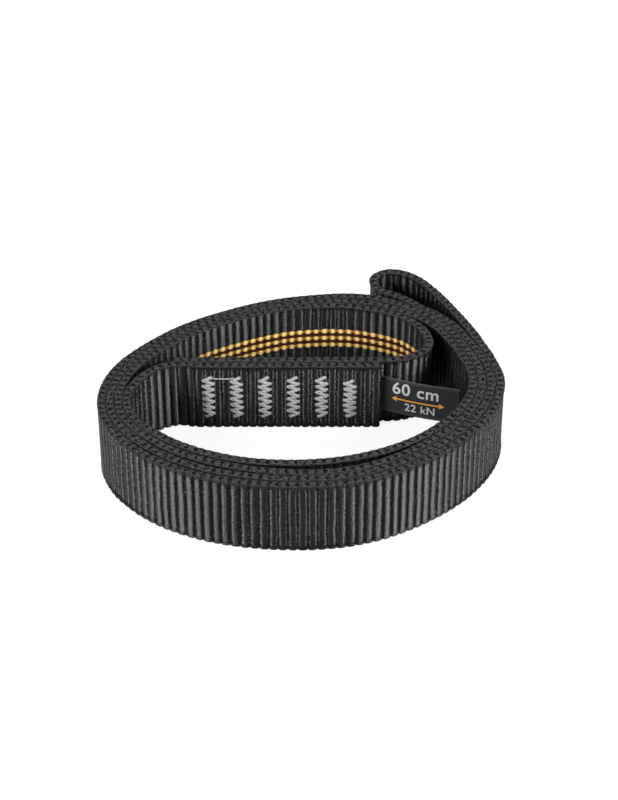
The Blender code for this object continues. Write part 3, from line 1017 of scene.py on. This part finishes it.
def label_material(settings):
    """Fine black satin with paler edges, partly the woven edges' own grey and partly a painted highlight
    where light catches them.
    """
    finish = Finish("black_label_satin")
    along, across = finish.mapped("weave")
    row = (across * 38.0).cosine()
    column = (along * 3.0 + row * 0.5).cosine()
    # The edges: partly their woven grey, partly a painted highlight
    rim = ((across - 0.5).absolute() * 2.0).ramp(0.93, 0.9755)
    fleck = finish.noise(900.0, 2.0, 0.6)
    share = (rim * (0.6 + 0.6 * fleck) + 0.05 * row * fleck).clipped()
    finish.set(
        Base_Color=finish.mix(share, settings.satin, settings.edge),
        Roughness=0.40 + 0.2 * fleck,
        Normal=finish.bump(0.7 * row + 0.3 * column, SATIN_BUMP, 0.6),
        Specular_IOR_Level=0.2,
    )
    return finish.material


def label_course():
    """The label's line from inside the lap to its folded end, through the middle of its solids."""
    hinge = Vector(HINGE[:2])
    low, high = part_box("label_flap")
    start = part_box("label_tail")[0].x
    points = [Vector((start + (hinge.x - start) * i / TAIL_STEPS, hinge.y)) for i in range(TAIL_STEPS + 1)]
    aim = Vector((high.x, low.y)) - hinge
    side = Vector((aim.y, -aim.x)).normalized()
    for i in range(1, FLAP_STEPS + 1):
        bow = LABEL_BOW * math.sin(math.pi * i / FLAP_STEPS)
        points.append(hinge + aim * (i / FLAP_STEPS) + side * bow)
    return Course(smooth(points))


class SLING_OT_label(bpy.types.Operator):
    """Folds the satin label and prints it"""

    bl_idname = "sling.label"
    bl_label = "Label"
    ROWS = 9
    STEPS = 46
    # How far off the ribbon's middle its two layers lie, as a share of their thickness
    APART = 0.62
    # How long and how wide its fold is, for that distance's 1
    FOLD_LENGTH = 2.2
    FOLD_WIDTH = 1.5
    # The layers part by this share more near the fold, over this length
    SWELL = 0.5
    SWELL_LENGTH = 2.0 * MM
    # Two reaches along the ribbon, before the hinge and behind it
    BLEND_REACH = (0.3 * MM, 1.2 * MM)
    THREAD_PITCH = 0.6 * MM
    # Half the print's thickness, and how far it lies off the ribbon
    PRINT_HALF = 0.012 * MM
    PRINT_LIFT = 0.02 * MM
    # A capital's height as a share of the font's size, and how much bolder and more widely set it is
    CAPITAL_SHARE = 0.7
    BOLD_SHARE = 0.02
    SPACING = 1.06
    # Points of a letter that lie closer than this are one
    MERGE_REACH = 0.001 * MM
    # Each row: name, words, their height, and their start from the label's start and its middle line
    WORDS = (
        ("label_length", "60 cm", 3.6 * MM, 1.7 * MM, 0.9 * MM),
        ("label_strength", "22 kN", 2.3 * MM, 5.4 * MM, -3.9 * MM),
    )
    # The arrow's ends and height from there, half the height of its bar and of a barb, and a barb's length
    ARROW_SPAN = (1.6 * MM, 16.6 * MM)
    ARROW_RISE = -0.75 * MM
    BAR_HALF = 0.22 * MM
    BARB_HALF = 0.85 * MM
    BARB_LENGTH = 1.5 * MM
    BAR_STEPS = 8

    def execute(self, context):
        settings = context.scene.sling_label
        course = label_course()
        self.ribbon(course, settings)
        self.printing(course, settings)
        return {"FINISHED"}

    def ribbon(self, course, settings):
        """One ribbon that runs out, turns round in a small fold and comes back."""
        low, high = [corner.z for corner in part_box("label_flap")]
        apart = self.APART * settings.layer
        fold = self.FOLD_LENGTH * apart
        reach = course.length - fold
        out = np.linspace(0.0, reach, self.STEPS)
        bend = np.radians(np.linspace(-90, 90, 7)[1:-1])
        distances = np.concatenate((out, reach + fold * np.cos(bend), out[::-1]))
        side = np.full_like(out, apart)
        offsets = np.concatenate((-side, self.FOLD_WIDTH * apart * np.sin(bend), side))
        offsets *= 1 + self.SWELL * np.exp(-(((distances - reach) / self.SWELL_LENGTH) ** 2))
        ribbon = Course(course.place(distances, offsets, 0.0)[:, :2])
        shares = np.linspace(0.0, 1.0, self.ROWS)
        up = low + (high - low) * shares
        thick = np.full_like(up, settings.layer / 2)
        thick[[0, -1]] *= 0.5
        round_up = np.concatenate((up, up[::-1]))
        round_aside = np.concatenate((thick, -thick))
        points = ribbon.place(ribbon.distances[:, None], round_aside, round_up)
        made = tube_object("folded_label", points, label_material(settings))
        across = np.concatenate((shares, shares[::-1], shares[:1]))
        tube_map(made, "weave", ribbon.distances / self.THREAD_PITCH, across)
        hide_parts("label_tail", "label_flap")
        heading = Vector((*course.at(course.length).tolist(), HINGE[2])) - Vector(HINGE)
        heading.normalize()
        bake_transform(made)

    def printing(self, course, settings):
        """A generic print: the loop's length over an arrow, and the strength under it."""
        low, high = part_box("label_flap")
        start = course.length - high.x + low.x
        middle = (low.z + high.z) / 2
        face = self.APART * settings.layer + settings.layer / 2 + self.PRINT_LIFT
        white = self.ink("white_print", settings.white)
        orange = self.ink("orange_print", settings.orange)
        for name, words, height, along, up in self.WORDS:
            shape = self.lettering(name, words, height, start + along, middle + up)
            self.lay(name, shape, course, face, white)
        first, last = self.ARROW_SPAN
        shape = self.arrow(start + first, start + last, middle + self.ARROW_RISE)
        self.lay("label_arrow", shape, course, face, orange)

    def ink(self, name, colour):
        finish = Finish(name)
        fleck = finish.noise(1400.0, 2.0, 0.6)
        dark = [0.72 * c for c in colour]
        finish.set(
            Base_Color=finish.mix(fleck * 1.2, dark, colour),
            Roughness=0.5 + 0.2 * fleck,
            Normal=finish.bump(fleck, PRINT_BUMP, 0.4),
        )
        return finish.material

    def lay(self, name, shape, course, face, material):
        """Lays a flat shape, whose X runs along the label and Y up it, on the label's front."""
        for vert in shape.verts:
            flat = course.place(vert.co.x, -(face + vert.co.z), vert.co.y)
            vert.co = Vector(flat.tolist())
        bmesh.ops.recalc_face_normals(shape, faces=shape.faces)
        made = shape_object(name, shape, material)
        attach(made, "label")

    def lettering(self, name, words, height, start, up):
        """Words of this height, as a flat shape."""
        data = bpy.data.curves.new(name, "FONT")
        data.body = words
        data.size = height / self.CAPITAL_SHARE
        data.extrude = self.PRINT_HALF
        data.offset = self.BOLD_SHARE * height
        data.space_character = self.SPACING
        data.resolution_u = 4
        text = linked(name + "_text", data)
        bpy.context.view_layer.update()
        graph = bpy.context.evaluated_depsgraph_get()
        mesh = bpy.data.meshes.new_from_object(text.evaluated_get(graph))
        bpy.data.objects.remove(text, do_unlink=True)
        shape = bmesh.new()
        shape.from_mesh(mesh)
        bmesh.ops.remove_doubles(shape, verts=shape.verts, dist=self.MERGE_REACH)
        bmesh.ops.translate(shape, verts=shape.verts, vec=(start, up, 0.0))
        return shape

    def arrow(self, start, end, up):
        """A thin bar with a barb at each end. Its faces are made one by one, the same in each run."""
        left = start + self.BARB_LENGTH
        right = end - self.BARB_LENGTH
        run = end - start - 2 * self.BARB_LENGTH
        bar = [(left + run * i / self.BAR_STEPS, self.BAR_HALF) for i in range(self.BAR_STEPS + 1)]
        top = [(start, 0.0), (left, self.BARB_HALF), *bar, (right, self.BARB_HALF), (end, 0.0)]
        outline = top + [(x, -y) for x, y in reversed(top[1:-1])]
        shape = bmesh.new()
        back = [shape.verts.new((x, up + y, -self.PRINT_HALF)) for x, y in outline]
        front = [shape.verts.new((x, up + y, self.PRINT_HALF)) for x, y in outline]
        shape.faces.new(back)
        shape.faces.new(front)
        for k in range(len(outline)):
            shape.faces.new((back[k - 1], back[k], front[k], front[k - 1]))
        bmesh.ops.triangulate(shape, faces=shape.faces)
        return shape


class SLING_OT_stage(bpy.types.Operator):
    """Sets up the floor, the light and the camera"""

    bl_idname = "sling.stage"
    bl_label = "Stage"

    def execute(self, context):
        settings = context.scene.sling_stage
        context.scene.view_settings.view_transform = "Standard"
        self.camera(settings)
        self.floor(settings)
        self.world(settings)
        for name, place, size, power in LAMPS:
            self.lamp(name, place, size, power)
        return {"FINISHED"}

    def camera(self, settings):
        data = bpy.data.cameras.new("camera")
        data.lens = settings.lens
        data.clip_start = NEAR_CLIP
        made = linked("camera", data)
        made.location = settings.camera_place
        made.rotation_euler = (settings.camera_tilt, 0.0, 0.0)
        bpy.context.scene.camera = made

    def seen(self, finish):
        """1 for rays that see the floor, straight, mirrored or through something, and 0 for all others."""
        kinds = ("Is Camera Ray", "Is Glossy Ray", "Is Transmission Ray")
        camera, glossy, through = [finish.node("ShaderNodeLightPath", {}, {}, kind) for kind in kinds]
        return finish.math("MAXIMUM", finish.math("MAXIMUM", camera, glossy), through)

    def floor(self, settings):
        finish = Finish("pale_floor")
        paler = [min(1.0, 1.01 * c) for c in settings.floor_colour]
        finish.set(
            Base_Color=finish.mix(finish.noise(40.0), settings.floor_colour, paler),
            Roughness=0.9,
            Specular_IOR_Level=0.1,
            Emission_Color=self.seen(finish),
            Emission_Strength=settings.floor_glow,
        )
        shape = bmesh.new()
        bmesh.ops.create_circle(shape, cap_ends=True, segments=FLOOR_CORNERS, radius=FLOOR_RADIUS)
        made = shape_object("floor", shape, finish.material)
        made.location.z = -FLOOR_DROP

    def world(self, settings):
        world = bpy.data.worlds.new("studio")
        world.use_nodes = True
        bpy.context.scene.world = world
        back = world.node_tree.nodes["Background"]
        back.inputs["Color"].default_value = (1.0, 1.0, 1.0, 1.0)
        back.inputs["Strength"].default_value = settings.ambient

    def lamp(self, name, place, size, power):
        """A soft lamp that looks at the coil."""
        data = bpy.data.lights.new(name, "AREA")
        data.shape = "RECTANGLE"
        data.size, data.size_y = size
        data.energy = power
        made = linked(name, data)
        made.location = place
        made.rotation_euler = (Vector(LAMP_AIM) - Vector(place)).to_track_quat("-Z", "Y").to_euler()


class SLING_PT_panel(bpy.types.Panel):
    """Lists the sling's pieces in the 3D view's sidebar"""

    bl_label = "Climbing sling"
    bl_idname = "SLING_PT_panel"
    bl_space_type = "VIEW_3D"
    bl_region_type = "UI"
    bl_category = "Sling"

    def draw(self, context):
        for operator, _, name in PARTS:
            self.layout.operator(operator.bl_idname)
            box = self.layout.box()
            settings = getattr(context.scene, name)
            for key in settings.bl_rna.properties.keys():
                if key not in ("name", "rna_type"):
                    box.prop(settings, key)


# Each row: an operator, its settings and their name in the scene
PARTS = (
    (SLING_OT_stage, SlingStageSettings, "sling_stage"),
    (SLING_OT_tape, SlingTapeSettings, "sling_tape"),
    (SLING_OT_tracers, SlingTracerSettings, "sling_tracers"),
    (SLING_OT_tacks, SlingTackSettings, "sling_tacks"),
    (SLING_OT_label, SlingLabelSettings, "sling_label"),
)


def register():
    for operator, group, name in PARTS:
        bpy.utils.register_class(group)
        setattr(bpy.types.Scene, name, bpy.props.PointerProperty(type=group))
        bpy.utils.register_class(operator)
    bpy.utils.register_class(SLING_PT_panel)


def unregister():
    bpy.utils.unregister_class(SLING_PT_panel)
    for operator, group, name in reversed(PARTS):
        bpy.utils.unregister_class(operator)
        delattr(bpy.types.Scene, name)
        bpy.utils.unregister_class(group)


def main():
    register()
    bpy.ops.sling.stage()
    bpy.ops.sling.tape()
    bpy.ops.sling.tracers()
    bpy.ops.sling.tacks()
    bpy.ops.sling.label()
    length = tape_course().length
    bpy.context.view_layer.update()


if __name__ == "__main__":
    main()
